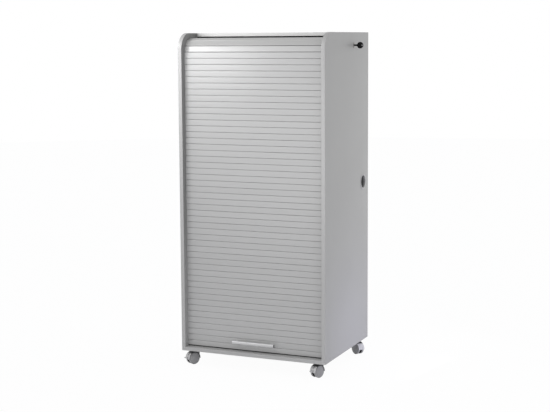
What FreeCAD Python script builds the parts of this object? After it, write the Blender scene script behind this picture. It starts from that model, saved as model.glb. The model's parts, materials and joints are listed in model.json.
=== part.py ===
import FreeCAD, Part
import math
import os
from types import SimpleNamespace

import Sketcher
from FreeCAD import Placement, Rotation, Vector

doc = FreeCAD.newDocument("computer_cabinet")

# Driving sizes in millimetres, angles in degrees.
# Depths ("_back") count from the front edge, heights ("_up") from the underside of the carcass.
sizes = {
    "width": 642,
    "depth": 515,
    "carcass_height": 1319,
    "board": 16,
    "corner_radius": 70,
    "top_setback": 145,
    "rear_sheet": 3,
    "rear_inset": 8,
    "rear_groove": 6,
    "sheet_clearance": 0.3,
    "inner_back_sheet": 3,
    "inner_back_to_rear": 31,
    "shelf_front_back": 46,
    "shelf_clearance": 0.5,
    "lower_shelf_up": 300,
    "monitor_shelf_up": 640,
    "upper_shelf_up": 1030,
    "support_thickness": 2.5,
    "support_wide": 18,
    "support_tall": 14,
    "support_out": 9.5,
    "support_edge_distance": 60,
    "shutter_recess": 28,
    "shutter_top_gap": 4,
    "bend_radius": 60,
    "rear_run_gap": 4,
    "rear_run_end_up": 290,
    "groove_depth": 8,
    "groove_clearance": 0.3,
    "slat_end_clearance": 1,
    "slat_pitch": 25,
    "slat_thickness": 8,
    "slat_bevel": 1.2,
    "slat_gap": 0.6,
    "bead_radius": 1.7,
    "socket_radius": 2.2,
    "socket_lip": 1.5,
    "neck_thickness": 1.2,
    "hinge_clearance": 0.3,
    "first_hinge_up": 43.3,
    "rail_bottom_up": 20,
    "end_bar": 12,
    "seal_width": 5,
    "seal_tongue": 2.6,
    "seal_tongue_depth": 4.5,
    "seal_fit": 0.2,
    "handle_length": 188,
    "handle_tall": 12,
    "handle_deep": 9,
    "handle_edge_radius": 3,
    "handle_grip": 14,
    "handle_drop": 3,
    "post_radius": 4.5,
    "post_end_distance": 16,
    "screw_head_radius": 3.5,
    "screw_head": 2,
    "lock_to_rear": 182,
    "lock_to_top": 53,
    "lock_flange_radius": 11,
    "lock_flange": 2.5,
    "lock_body_radius": 9,
    "lock_body_fit": 0.1,
    "lock_inside": 10,
    "lock_nut_radius": 14,
    "lock_nut": 4,
    "plug_radius": 6,
    "plug_fit": 0.08,
    "cam_gap": 0.5,
    "cam_thickness": 3,
    "cam_wide": 14,
    "cam_reach": 30,
    "cam_square": 6,
    "cam_fit": 0.05,
    "key_thickness": 2,
    "key_wide": 7,
    "key_in": 18,
    "key_fit": 0.1,
    "bow_radius": 13.5,
    "bow_thickness": 5,
    "bow_out": 27.5,
    "bow_grip": 8,
    "bow_hole_radius": 2.5,
    "cable_hole_to_rear": 66,
    "cable_hole_up": 689,
    "cable_hole_radius": 30,
    "grommet_fit": 0.1,
    "grommet_wall": 3.9,
    "grommet_flange": 3,
    "grommet_flange_thickness": 2,
    "tray_front_back": 62,
    "tray_up": 556,
    "guide_front_back": 52,
    "guide_to_inner_back": 62,
    "guide_tall": 28,
    "guide_wide": 11,
    "guide_wall": 1.5,
    "guide_lip": 3,
    "guide_clearance": 0.3,
    "runner_short": 30,
    "tray_short": 50,
    "caster_height": 64,
    "caster_side_distance": 41,
    "caster_front_distance": 57,
    "caster_rear_distance": 50,
    "caster_plate": 42,
    "caster_plate_thickness": 3,
    "caster_trail": 21,
    "front_left_turn": 150,
    "front_right_turn": 158,
    "rear_right_turn": 236,
    "rear_left_turn": 20,
    "wheel_radius": 25,
    "wheel_width": 12,
    "wheel_side_gap": 0.6,
    "hood_wall": 2,
    "hood_clearance": 1.2,
    "hood_half_width": 15.5,
    "hood_skirt": 2,
    "hood_web": 8,
    "hood_boss_radius": 11,
    "axle_lobe_radius": 7,
    "axle_radius": 3,
    "axle_fit": 0.06,
    "axle_head": 2,
    "king_pin_radius": 4,
    "king_pin_length": 12,
    "king_pin_fit": 0.06,
    "swivel_gap": 0.3,
    "caster_screw_inset": 6,
    "lever_pin_out": 20,
    "lever_pin_up": 12,
    "lever_pin_radius": 1.5,
    "lever_fit": 0.06,
    "lever_thickness": 4,
    "lever_slot_gap": 0.3,
    "pedal_wide": 14,
    "pedal_out": 30.5,
    "pedal_long": 9,
    "pedal_up": 4,
    "pedal_thickness": 3,
}

sheet = doc.addObject("Spreadsheet::Sheet", "dims")
for row, (alias, number) in enumerate(sizes.items(), start=1):
    sheet.set(f"A{row}", alias)
    sheet.set(f"B{row}", str(number))
    sheet.setAlias(f"B{row}", alias)
doc.recompute()


class Size:
    """A size that carries its sheet expression beside its value."""

    def __init__(self, value, text):
        self.value = float(value)
        self.text = text

    def __add__(self, other):
        other = as_size(other)
        return Size(self.value + other.value, f"({self.text} + {other.text})")

    def __sub__(self, other):
        other = as_size(other)
        return Size(self.value - other.value, f"({self.text} - {other.text})")

    def __mul__(self, other):
        other = as_size(other)
        return Size(self.value * other.value, f"({self.text} * {other.text})")

    def __truediv__(self, other):
        other = as_size(other)
        return Size(self.value / other.value, f"({self.text} / {other.text})")

    def __neg__(self):
        return Size(-self.value, f"(0 - {self.text})")

    def __radd__(self, other):
        return as_size(other) + self

    def __rsub__(self, other):
        return as_size(other) - self

    def __rmul__(self, other):
        return as_size(other) * self


def as_size(number):
    if isinstance(number, Size):
        return number
    return Size(number, f"({float(number)!r})")


def root(size):
    return Size(math.sqrt(size.value), f"sqrt({size.text})")


d = SimpleNamespace(**{alias: Size(sheet.get(alias), f"dims.{alias}") for alias in sizes})

# Planes that several pieces share, in the part's frame: floor at zero, front at the low end of Y.
inside = d.width - 2 * d.board
inner_face = d.width / 2 - d.board
outer_face = d.width / 2
front = -d.depth / 2
under = d.caster_height
carcass_top = under + d.carcass_height
rear_sheet_back = d.depth - d.rear_inset - d.rear_sheet

# The shutter's outer face: front run, front bend, top run, rear bend, rear run.
bend_up = d.carcass_height - d.board - d.shutter_top_gap - d.bend_radius
front_bend_back = d.shutter_recess + d.bend_radius
rear_bend_back = rear_sheet_back - d.rear_run_gap - d.bend_radius
hinge_radius = d.bend_radius - d.slat_thickness / 2
half_pitch = d.slat_pitch / 2
slat_sag = hinge_radius - root(hinge_radius * hinge_radius - half_pitch * half_pitch)
groove_in = d.slat_thickness + slat_sag + d.groove_clearance
groove_out = d.groove_clearance
handle_up = d.first_hinge_up + half_pitch - d.handle_drop

# Places that follow the rear edge or the top.
inner_back_back = d.depth - d.inner_back_to_rear
lock_back = d.depth - d.lock_to_rear
lock_up = d.carcass_height - d.lock_to_top
cable_hole_back = d.depth - d.cable_hole_to_rear
guide_length = inner_back_back - d.guide_to_inner_back - d.guide_front_back

nodes = {}


def keep(obj):
    obj.Label = obj.Name
    nodes[obj.Name] = obj
    return obj


def bind(obj, **sizes_by_property):
    for name, size in sizes_by_property.items():
        obj.setExpression(name, as_size(size).text)


def place(obj, at):
    for letter, size in zip("xyz", at):
        obj.setExpression(f"Placement.Base.{letter}", as_size(size).text)


def box(name, size, at):
    obj = doc.addObject("Part::Box", name)
    bind(obj, Length=size[0], Width=size[1], Height=size[2])
    place(obj, at)
    return obj


turns = {
    "x": Rotation(Vector(0, 1, 0), 90),
    "y": Rotation(Vector(1, 0, 0), -90),
    "z": Rotation(),
}


def cylinder(name, radius, length, at, axis="z"):
    obj = doc.addObject("Part::Cylinder", name)
    bind(obj, Radius=radius, Height=length)
    obj.Placement = Placement(Vector(), turns[axis])
    place(obj, at)
    return obj


def screw_head(name, at, axis="z"):
    obj = doc.addObject("Part::Prism", name)
    obj.Polygon = 6
    bind(obj, Circumradius=d.screw_head_radius, Height=d.screw_head)
    obj.Placement = Placement(Vector(), turns[axis])
    place(obj, at)
    return obj


def cut(name, base, *tools):
    tool = tools[0] if len(tools) == 1 else fuse(name + "_tools", *tools)
    obj = doc.addObject("Part::Cut", name)
    obj.Base = base
    obj.Tool = tool
    return obj


def fuse(name, *shapes):
    obj = doc.addObject("Part::MultiFuse", name)
    obj.Shapes = list(shapes)
    return obj


def group(name, *members):
    obj = doc.addObject("Part::Compound", name)
    obj.Links = list(members)
    return obj


def mirrored(name, source):
    obj = doc.addObject("Part::Mirroring", name)
    obj.Source = source
    obj.Normal = Vector(1, 0, 0)
    return obj


def sketch(body, name, loops, plane="YZ_Plane"):
    """Closed loops of corners (x, y), or (x, y, radius, centre) where an arc follows, or circles."""
    drawing = body.newObject("Sketcher::SketchObject", name)
    support = [face for face in body.Origin.OriginFeatures if face.Role == plane]
    drawing.AttachmentSupport = [(support[0], "")]
    drawing.MapMode = "FlatFace"

    def tie(kind, size, *points):
        index = drawing.addConstraint(Sketcher.Constraint(kind, *points, size.value))
        drawing.setExpression(f"Constraints[{index}]", size.text)

    for loop in loops:
        if loop[0] == "circle":
            x, y, radius = (as_size(size) for size in loop[1:])
            centre = Vector(x.value, y.value, 0)
            edge = drawing.addGeometry(Part.Circle(centre, Vector(0, 0, 1), radius.value), False)
            tie("DistanceX", x, -1, 1, edge, 3)
            tie("DistanceY", y, -1, 1, edge, 3)
            tie("Radius", radius, edge)
            continue
        ends = []
        points = [Vector(as_size(corner[0]).value, as_size(corner[1]).value, 0) for corner in loop]
        for index, corner in enumerate(loop):
            start = points[index]
            end = points[(index + 1) % len(loop)]
            if len(corner) == 2:
                edge = drawing.addGeometry(Part.LineSegment(start, end), False)
                ends.append((edge, 1, 2))
            else:
                centre = Vector(as_size(corner[3][0]).value, as_size(corner[3][1]).value, 0)
                circle = Part.Circle(centre, Vector(0, 0, 1), corner[2].value)
                first_turn = math.atan2(start.y - centre.y, start.x - centre.x)
                last_turn = math.atan2(end.y - centre.y, end.x - centre.x)
                sweep = (last_turn - first_turn) % (2 * math.pi)
                if sweep < math.pi:
                    arc = Part.ArcOfCircle(circle, first_turn, first_turn + sweep)
                    ends.append((drawing.addGeometry(arc, False), 1, 2))
                else:
                    arc = Part.ArcOfCircle(circle, last_turn, last_turn + 2 * math.pi - sweep)
                    ends.append((drawing.addGeometry(arc, False), 2, 1))
        for index, corner in enumerate(loop):
            edge, first, last = ends[index]
            following, following_first, _ = ends[(index + 1) % len(loop)]
            drawing.addConstraint(
                Sketcher.Constraint("Coincident", edge, last, following, following_first)
            )
            tie("DistanceX", as_size(corner[0]), -1, 1, edge, first)
            tie("DistanceY", as_size(corner[1]), -1, 1, edge, first)
            if len(corner) > 2:
                tie("Radius", corner[2], edge)
    return drawing


pockets = []


def pad(body, drawing, length, backwards=False):
    feature = body.newObject("PartDesign::Pad", drawing.Name + "_pad")
    feature.Profile = drawing
    bind(feature, Length=length)
    feature.Reversed = backwards
    return feature


def pocket(body, drawing, depth, backwards=False):
    feature = body.newObject("PartDesign::Pocket", drawing.Name + "_pocket")
    feature.Profile = drawing
    bind(feature, Length=depth)
    feature.Reversed = backwards
    pockets.append(feature)
    return feature


# Side panels. Each is drawn on its inner face: across is the depth, up is the height.


def groove_loop():
    outer_radius = d.bend_radius + groove_out
    inner_radius = d.bend_radius - groove_in
    front_centre = (front_bend_back, bend_up)
    rear_centre = (rear_bend_back, bend_up)
    return [
        (d.shutter_recess - groove_out, d.board),
        (d.shutter_recess - groove_out, bend_up, outer_radius, front_centre),
        (front_bend_back, bend_up + outer_radius),
        (rear_bend_back, bend_up + outer_radius, outer_radius, rear_centre),
        (rear_bend_back + outer_radius, bend_up),
        (rear_bend_back + outer_radius, d.rear_run_end_up),
        (rear_bend_back + inner_radius, d.rear_run_end_up),
        (rear_bend_back + inner_radius, bend_up, inner_radius, rear_centre),
        (rear_bend_back, bend_up + inner_radius),
        (front_bend_back, bend_up + inner_radius, inner_radius, front_centre),
        (d.shutter_recess + groove_in, bend_up),
        (d.shutter_recess + groove_in, d.board),
    ]


def side_panel(name, side, holes):
    body = doc.addObject("PartDesign::Body", name)
    place(body, (side * inner_face, front, under))
    right = side > 0
    corner_centre = (d.corner_radius, d.carcass_height - d.corner_radius)
    outline = [
        (0, 0),
        (d.depth, 0),
        (d.depth, d.carcass_height),
        (d.corner_radius, d.carcass_height, d.corner_radius, corner_centre),
        (0, d.carcass_height - d.corner_radius),
    ]
    pad(body, sketch(body, name + "_outline", [outline]), d.board, not right)
    groove = sketch(body, name + "_shutter_groove", [groove_loop()])
    pocket(body, groove, d.groove_depth, right)
    sheet_slot = [
        (rear_sheet_back - d.sheet_clearance, 0),
        (rear_sheet_back + d.rear_sheet + d.sheet_clearance, 0),
        (rear_sheet_back + d.rear_sheet + d.sheet_clearance, d.carcass_height),
        (rear_sheet_back - d.sheet_clearance, d.carcass_height),
    ]
    pocket(body, sketch(body, name + "_rear_slot", [sheet_slot]), d.rear_groove, right)
    if holes:
        pocket(body, sketch(body, name + "_through_holes", holes), d.board, right)
    return keep(body)


lock_and_cable_holes = [
    ("circle", lock_back, lock_up, d.lock_body_radius + d.lock_body_fit),
    ("circle", cable_hole_back, d.cable_hole_up, d.cable_hole_radius),
]
side_panel("right_side_panel", 1, lock_and_cable_holes)
side_panel("left_side_panel", -1, [])

# Boards between the sides, and the two thin back sheets.
keep(
    box(
        "top_panel",
        (inside, rear_sheet_back - d.top_setback, d.board),
        (-inner_face, front + d.top_setback, carcass_top - d.board),
    )
)
keep(box("bottom_panel", (inside, rear_sheet_back, d.board), (-inner_face, front, under)))
rear_tongue = d.rear_groove - d.sheet_clearance
keep(
    box(
        "rear_panel",
        (inside + 2 * rear_tongue, d.rear_sheet, d.carcass_height),
        (-inner_face - rear_tongue, front + rear_sheet_back, under),
    )
)
keep(
    box(
        "inner_back_panel",
        (inside, d.inner_back_sheet, bend_up - d.board),
        (-inner_face, front + inner_back_back, under + d.board),
    )
)

# Loose shelves, each on four angle supports that stand against the sides.
shelf_heights = {
    "lower_shelf": d.lower_shelf_up,
    "monitor_shelf": d.monitor_shelf_up,
    "upper_shelf": d.upper_shelf_up,
}
shelf_width = inside - 2 * d.shelf_clearance
shelf_deep = inner_back_back - d.shelf_front_back
support_backs = {
    "front": d.shelf_front_back + d.support_edge_distance,
    "rear": inner_back_back - d.support_edge_distance - d.support_wide,
}
supports = []
for shelf, up in shelf_heights.items():
    keep(
        box(
            shelf,
            (shelf_width, shelf_deep, d.board),
            (-shelf_width / 2, front + d.shelf_front_back, under + up),
        )
    )
    for spot, back in support_backs.items():
        flange = box(
            f"{shelf}_{spot}_flange",
            (d.support_thickness, d.support_wide, d.support_tall),
            (inner_face - d.support_thickness, front + back, under + up - d.support_tall),
        )
        ledge = box(
            f"{shelf}_{spot}_ledge",
            (d.support_out, d.support_wide, d.support_thickness),
            (inner_face - d.support_out, front + back, under + up - d.support_thickness),
        )
        right_support = fuse(f"{shelf}_{spot}_right_support", flange, ledge)
        supports.append(right_support)
        supports.append(mirrored(f"{shelf}_{spot}_left_support", right_support))
keep(group("shelf_supports", *supports))

# Shutter slats. One section, carried from hinge to hinge along the groove.
# In the section, across is the way up the shutter from the lower hinge, out is towards the front.
pitch = d.slat_pitch.value
half_thick = d.slat_thickness.value / 2
bevel = d.slat_bevel.value
lip = d.socket_lip.value
half_neck = d.neck_thickness.value / 2
bend_turn = 2 * math.asin(half_pitch.value / hinge_radius.value)
outer_edge = pitch - lip - d.slat_gap.value
back_edge = (
    pitch
    - lip * math.cos(bend_turn)
    - half_thick * math.sin(bend_turn)
    - d.hinge_clearance.value
)
bead_facets = 4
socket_facets = 4
slat_length = (inside + 2 * (d.groove_depth - d.slat_end_clearance)).value


def socket_edge():
    """The lower edge: bevelled lip, then the faceted socket between its two lips."""
    radius = d.socket_radius.value
    mouth = math.acos(-lip / radius)
    inner = [
        (radius * math.cos(angle), radius * math.sin(angle))
        for angle in (mouth * (2 * step / socket_facets - 1) for step in range(socket_facets + 1))
    ]
    return [(-lip, -half_thick)] + inner + [(-lip, half_thick - bevel), (-lip + bevel, half_thick)]


def bead_edge():
    """The upper edge: bevel, shoulder, neck and faceted bead, then the relieved back edge."""
    radius = d.bead_radius.value
    neck_angle = math.pi - math.asin(half_neck / radius)
    bead = [
        (pitch + radius * math.cos(angle), radius * math.sin(angle))
        for angle in (neck_angle * (1 - 2 * step / bead_facets) for step in range(bead_facets + 1))
    ]
    shoulder = [
        (outer_edge - bevel, half_thick),
        (outer_edge, half_thick - bevel),
        (outer_edge, half_neck),
    ]
    return shoulder + bead + [(back_edge, -half_neck), (back_edge, -half_thick)]


def profile_solid(outline):
    corners = [Vector(-slat_length / 2, -out, up) for up, out in outline]
    face = Part.Face(Part.makePolygon(corners + corners[:1]))
    return face.extrude(Vector(slat_length, 0, 0))


slat_outline = socket_edge() + bead_edge()
rail_foot = pitch - (d.first_hinge_up - d.rail_bottom_up).value
slot_half = (d.seal_tongue / 2 + d.seal_fit).value
slot_depth = (d.seal_tongue_depth + d.seal_fit).value
rail_outline = [
    (rail_foot, -half_thick),
    (rail_foot, -slot_half),
    (rail_foot + slot_depth, -slot_half),
    (rail_foot + slot_depth, slot_half),
    (rail_foot, slot_half),
    (rail_foot, half_thick - bevel),
    (rail_foot + bevel, half_thick),
] + bead_edge()
end_outline = socket_edge() + [(d.end_bar.value, half_thick), (d.end_bar.value, -half_thick)]


def hinge_line(along):
    """Point and heading on the hinge line, a distance along it from the first hinge."""
    radius = hinge_radius.value
    quarter = radius * math.pi / 2
    front_run = (bend_up - d.first_hinge_up).value
    face_back = d.shutter_recess.value + half_thick
    if along <= front_run:
        return face_back, d.first_hinge_up.value + along
    if along <= front_run + quarter:
        turn = (along - front_run) / radius
        back = front_bend_back.value - radius * math.cos(turn)
        return back, bend_up.value + radius * math.sin(turn)
    return front_bend_back.value + along - front_run - quarter, bend_up.value + radius


def next_hinge(along):
    """Step along the hinge line by one slat, measured straight from hinge to hinge."""
    start = hinge_line(along)
    low = along + pitch
    high = along + pitch * math.pi / 2
    for _ in range(60):
        middle = (low + high) / 2
        if math.dist(start, hinge_line(middle)) < pitch:
            low = middle
        else:
            high = middle
    return low


def seated(solid, lower, upper):
    turn = math.degrees(math.atan2(upper[0] - lower[0], upper[1] - lower[1]))
    copy = solid.copy()
    at = Vector(0, front.value + lower[0], under.value + lower[1])
    copy.Placement = Placement(at, Rotation(Vector(1, 0, 0), -turn))
    return copy


def solid_node(name, *solids):
    obj = doc.addObject("Part::Feature", name)
    obj.Shape = solids[0] if len(solids) == 1 else Part.makeCompound(list(solids))
    return keep(obj)


shutter_stop = (lock_back - d.cam_wide / 2 - d.end_bar - d.groove_clearance).value
hinges = [0.0]
while hinge_line(next_hinge(hinges[-1]))[0] < shutter_stop:
    hinges.append(next_hinge(hinges[-1]))
hinge_points = [hinge_line(along) for along in hinges]
slat_solid = profile_solid(slat_outline)
slats = [
    seated(slat_solid, lower, upper) for lower, upper in zip(hinge_points, hinge_points[1:])
]
straight_slats = int((bend_up - d.first_hinge_up).value // pitch)

below_first = (hinge_points[0][0], hinge_points[0][1] - pitch)
solid_node("shutter_bottom_rail", seated(profile_solid(rail_outline), below_first, hinge_points[0]))
past_last = (hinge_points[-1][0] + pitch, hinge_points[-1][1])
end_bar = seated(profile_solid(end_outline), hinge_points[-1], past_last)
post_across = d.handle_length / 2 - d.post_end_distance
slat_back = d.shutter_recess + d.slat_thickness
solid_node("shutter_handle_slat", slats[0])

# The slats that pass over the bend as the shutter opens, in nine groups, then those that stay.
slat_groups = 9
moving_slats = straight_slats - 2
for number in range(slat_groups):
    first = 1 + round(number * moving_slats / slat_groups)
    last = 1 + round((number + 1) * moving_slats / slat_groups)
    solid_node(f"shutter_slats_{number + 1}", *slats[first:last])
bend_slats = straight_slats + round(hinge_radius.value * math.pi / 2 / pitch) + 1
solid_node("shutter_bend_slats", *slats[straight_slats - 1 : bend_slats])
solid_node("shutter_top_slats", *slats[bend_slats:], end_bar)

seal_drop = d.rail_bottom_up - d.board - d.groove_clearance
seal_back = front + d.shutter_recess + d.slat_thickness / 2
seal_length = inside - 2 * d.slat_end_clearance
seal_tongue = box(
    "seal_tongue_bar",
    (seal_length, d.seal_tongue, d.seal_tongue_depth + seal_drop),
    (
        -seal_length / 2,
        seal_back - d.seal_tongue / 2,
        under + d.rail_bottom_up - seal_drop,
    ),
)
seal_lip = box(
    "seal_lip",
    (seal_length, d.seal_width, seal_drop),
    (-seal_length / 2, seal_back - d.seal_width / 2, under + d.rail_bottom_up - seal_drop),
)
keep(fuse("shutter_seal", seal_tongue, seal_lip))

# Bar handle on two posts, screwed from behind the slat.
bar_front = d.shutter_recess - d.handle_grip - d.handle_deep
bar = doc.addObject("PartDesign::Body", "handle_bar")
place(bar, (-d.handle_length / 2, front + bar_front, under + handle_up - d.handle_tall / 2))
edge = d.handle_edge_radius
far_back = d.handle_deep
far_up = d.handle_tall
bar_outline = [
    (edge, 0),
    (far_back, 0),
    (far_back, far_up),
    (edge, far_up, edge, (edge, far_up - edge)),
    (0, far_up - edge),
    (0, edge, edge, (edge, edge)),
]
pad(bar, sketch(bar, "handle_bar_outline", [bar_outline]), d.handle_length)
keep(bar)
posts = []
screws = []
for side, side_name in ((-1, "left"), (1, "right")):
    posts.append(
        cylinder(
            f"post_{side_name}",
            d.post_radius,
            d.handle_grip,
            (side * post_across, front + d.shutter_recess - d.handle_grip, under + handle_up),
            "y",
        )
    )
    head_at = (side * post_across, front + slat_back, under + handle_up)
    screws.append(screw_head(f"handle_screw_{side_name}", head_at, "y"))
keep(group("handle_posts", *posts))
keep(group("handle_screws", *screws))

# Cam lock through the right side, turned by its key.
lock_y = front + lock_back
lock_z = under + lock_up


def lock_round(name, radius, start, end):
    return cylinder(name, radius, end - start, (start, lock_y, lock_z), "x")


def lock_block(name, start, end, wide, tall):
    return box(name, (end - start, wide, tall), (start, lock_y - wide / 2, lock_z - tall / 2))


flange_face = outer_face + d.lock_flange
housing_end = inner_face - d.lock_inside
cam_face = housing_end - d.cam_gap
cam_end = cam_face - d.cam_thickness
plug_bore_radius = d.plug_radius + d.plug_fit
keep(
    cut(
        "lock_housing",
        fuse(
            "lock_housing_blank",
            lock_round("lock_body", d.lock_body_radius, housing_end, outer_face),
            lock_round("lock_flange_disc", d.lock_flange_radius, outer_face, flange_face),
        ),
        lock_round("lock_plug_bore", plug_bore_radius, housing_end, flange_face),
    )
)
nut_blank = doc.addObject("Part::Prism", "lock_nut_blank")
nut_blank.Polygon = 6
bind(nut_blank, Circumradius=d.lock_nut_radius, Height=d.lock_nut)
nut_blank.Placement = Placement(Vector(), turns["x"])
place(nut_blank, (inner_face - d.lock_nut, lock_y, lock_z))
nut_bore = lock_round(
    "lock_nut_bore", d.lock_body_radius + d.lock_body_fit, inner_face - d.lock_nut, inner_face
)
keep(cut("lock_nut", nut_blank, nut_bore))
key_end = flange_face - d.key_in
keep(
    cut(
        "lock_plug",
        fuse(
            "lock_plug_blank",
            lock_round("lock_plug_barrel", d.plug_radius, cam_face, flange_face),
            lock_block("lock_plug_tail", cam_end, cam_face, d.cam_square, d.cam_square),
        ),
        lock_block(
            "lock_keyway",
            key_end - d.key_fit,
            flange_face,
            d.key_thickness + 2 * d.key_fit,
            d.key_wide + 2 * d.key_fit,
        ),
    )
)
cam_hole = d.cam_square + 2 * d.cam_fit
cam_arm = box(
    "lock_cam_arm",
    (d.cam_thickness, d.cam_reach, d.cam_wide),
    (cam_end, lock_y, lock_z - d.cam_wide / 2),
)
keep(
    cut(
        "lock_cam",
        fuse("lock_cam_blank", lock_round("lock_cam_eye", d.cam_wide / 2, cam_end, cam_face), cam_arm),
        lock_block("lock_cam_hole", cam_end, cam_face, cam_hole, cam_hole),
    )
)
keep(screw_head("cam_screw", (cam_end - d.screw_head, lock_y, lock_z), "x"))
bow_middle = outer_face + d.bow_out
blade_end = bow_middle - d.bow_radius + d.bow_grip
keep(lock_block("key_blade", key_end, blade_end, d.key_thickness, d.key_wide))
bow_disc = cylinder(
    "key_bow_disc",
    d.bow_radius,
    d.bow_thickness,
    (bow_middle, lock_y - d.bow_thickness / 2, lock_z),
    "y",
)
bow_slot = lock_block(
    "key_bow_slot",
    bow_middle - d.bow_radius,
    blade_end + d.key_fit,
    d.key_thickness + 2 * d.key_fit,
    d.key_wide + 2 * d.key_fit,
)
bow_hole = cylinder(
    "key_bow_hole",
    d.bow_hole_radius,
    d.bow_thickness,
    (
        bow_middle + d.bow_radius - 2 * d.bow_hole_radius,
        lock_y - d.bow_thickness / 2,
        lock_z,
    ),
    "y",
)
keep(cut("key_bow", bow_disc, bow_slot, bow_hole))

# Cable grommet in the right side.
cable_y = front + cable_hole_back
cable_z = under + d.cable_hole_up
sleeve_radius = d.cable_hole_radius - d.grommet_fit
grommet_end = outer_face + d.grommet_flange_thickness
keep(
    cut(
        "cable_grommet",
        fuse(
            "cable_grommet_blank",
            cylinder("grommet_sleeve", sleeve_radius, d.board, (inner_face, cable_y, cable_z), "x"),
            cylinder(
                "grommet_flange_disc",
                d.cable_hole_radius + d.grommet_flange,
                d.grommet_flange_thickness,
                (outer_face, cable_y, cable_z),
                "x",
            ),
        ),
        cylinder(
            "grommet_bore",
            sleeve_radius - d.grommet_wall,
            grommet_end - inner_face,
            (inner_face, cable_y, cable_z),
            "x",
        ),
    )
)

# Keyboard tray: channel rails on the sides, runners inside them, tray between the runners.
slide_middle = under + d.tray_up + d.board / 2
channel_wide = d.guide_wide - 2 * d.guide_wall
channel_tall = d.guide_tall - 2 * d.guide_wall
mouth_tall = channel_tall - 2 * d.guide_lip
guide_blank = box(
    "guide_blank",
    (d.guide_wide, guide_length, d.guide_tall),
    (inner_face - d.guide_wide, front + d.guide_front_back, slide_middle - d.guide_tall / 2),
)
guide_channel = box(
    "guide_channel",
    (channel_wide, guide_length, channel_tall),
    (
        inner_face - d.guide_wide + d.guide_wall,
        front + d.guide_front_back,
        slide_middle - channel_tall / 2,
    ),
)
guide_mouth = box(
    "guide_mouth",
    (d.guide_wall, guide_length, mouth_tall),
    (inner_face - d.guide_wide, front + d.guide_front_back, slide_middle - mouth_tall / 2),
)
right_guide = keep(cut("right_guide_rail", guide_blank, guide_channel, guide_mouth))
keep(mirrored("left_guide_rail", right_guide))
runner_length = guide_length - d.runner_short
runner_tall = channel_tall - 2 * d.guide_clearance
runner_wide = channel_wide - 2 * d.guide_clearance
runner_neck = mouth_tall - 2 * d.guide_clearance
tray_half = inner_face - d.guide_wide - d.guide_clearance
runner_bar = box(
    "runner_bar",
    (runner_wide, runner_length, runner_tall),
    (
        inner_face - d.guide_wide + d.guide_wall + d.guide_clearance,
        front + d.tray_front_back,
        slide_middle - runner_tall / 2,
    ),
)
runner_web = box(
    "runner_web",
    (d.guide_wall + 2 * d.guide_clearance, runner_length, runner_neck),
    (tray_half, front + d.tray_front_back, slide_middle - runner_neck / 2),
)
right_runner = keep(fuse("right_tray_runner", runner_bar, runner_web))
keep(mirrored("left_tray_runner", right_runner))
keep(
    box(
        "keyboard_tray",
        (2 * tray_half, guide_length - d.tray_short, d.board),
        (-tray_half, front + d.tray_front_back, under + d.tray_up),
    )
)

# Twin-wheel casters, drawn about the swivel axis with the wheels trailing towards +Y.
plate_under = d.caster_height - d.caster_plate_thickness
hood_inner = d.wheel_radius + d.hood_clearance
hood_outer = hood_inner + d.hood_wall
hood_top = plate_under - d.swivel_gap
half_web = d.hood_web / 2
king_pin_end = plate_under - d.king_pin_length
caster_backs = (d.caster_front_distance, d.depth - d.caster_rear_distance)
caster_across = d.width / 2 - d.caster_side_distance
screw_reach = d.caster_plate / 2 - d.caster_screw_inset
plates = []
caster_screws = []
corners = {
    "front_left": (-1, 0, d.front_left_turn),
    "front_right": (1, 0, d.front_right_turn),
    "rear_right": (1, 1, d.rear_right_turn),
    "rear_left": (-1, 1, d.rear_left_turn),
}


def axle_round(name, radius, start, end):
    return cylinder(name, radius, end - start, (start, d.caster_trail, d.wheel_radius), "x")


def hood_body(name, extra_cuts):
    drum = axle_round(name + "_drum", hood_outer, -d.hood_half_width, d.hood_half_width)
    boss = cylinder(
        name + "_boss", d.hood_boss_radius, hood_top - d.wheel_radius, (0, 0, d.wheel_radius)
    )
    below = box(
        name + "_below",
        (2 * d.hood_half_width, 2 * hood_outer, hood_outer - d.hood_skirt),
        (-d.hood_half_width, d.caster_trail - hood_outer, d.wheel_radius - hood_outer),
    )
    hollows = [
        axle_round(name + "_left_hollow", hood_inner, -d.hood_half_width, -half_web),
        axle_round(name + "_right_hollow", hood_inner, half_web, d.hood_half_width),
    ]
    dome = cut(name + "_dome", fuse(name + "_blank", drum, boss), below, *hollows)
    lobe = axle_round(name + "_lobe", d.axle_lobe_radius, -half_web, half_web)
    bores = [
        axle_round(name + "_axle_bore", d.axle_radius, -half_web, half_web),
        cylinder(
            name + "_king_bore",
            d.king_pin_radius + d.king_pin_fit,
            hood_top - king_pin_end + d.swivel_gap,
            (0, 0, king_pin_end - d.swivel_gap),
        ),
    ]
    return cut(name, fuse(name + "_with_lobe", dome, lobe), *bores, *extra_cuts)


lever_y = d.caster_trail + d.lever_pin_out
lever_z = d.wheel_radius + d.lever_pin_up
slot_wide = d.lever_thickness + 2 * d.lever_slot_gap
lever_eye_radius = 2 * d.lever_pin_radius
slot_start = lever_y - lever_eye_radius - d.lever_slot_gap
lever_cuts = [
    box(
        "lever_slot",
        (slot_wide, d.caster_trail + hood_outer - slot_start, hood_outer),
        (-slot_wide / 2, slot_start, d.wheel_radius - d.hood_skirt),
    ),
    cylinder(
        "lever_pin_bore",
        d.lever_pin_radius + d.lever_fit,
        d.hood_web,
        (-half_web, lever_y, lever_z),
        "x",
    ),
]
plain_hood = hood_body("plain_hood", [])
braked_hood = hood_body("braked_hood", lever_cuts)
axle_half = half_web + d.wheel_side_gap + d.wheel_width - d.axle_head
axle_proto = axle_round("axle_proto", d.axle_radius, -axle_half, axle_half)

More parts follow.
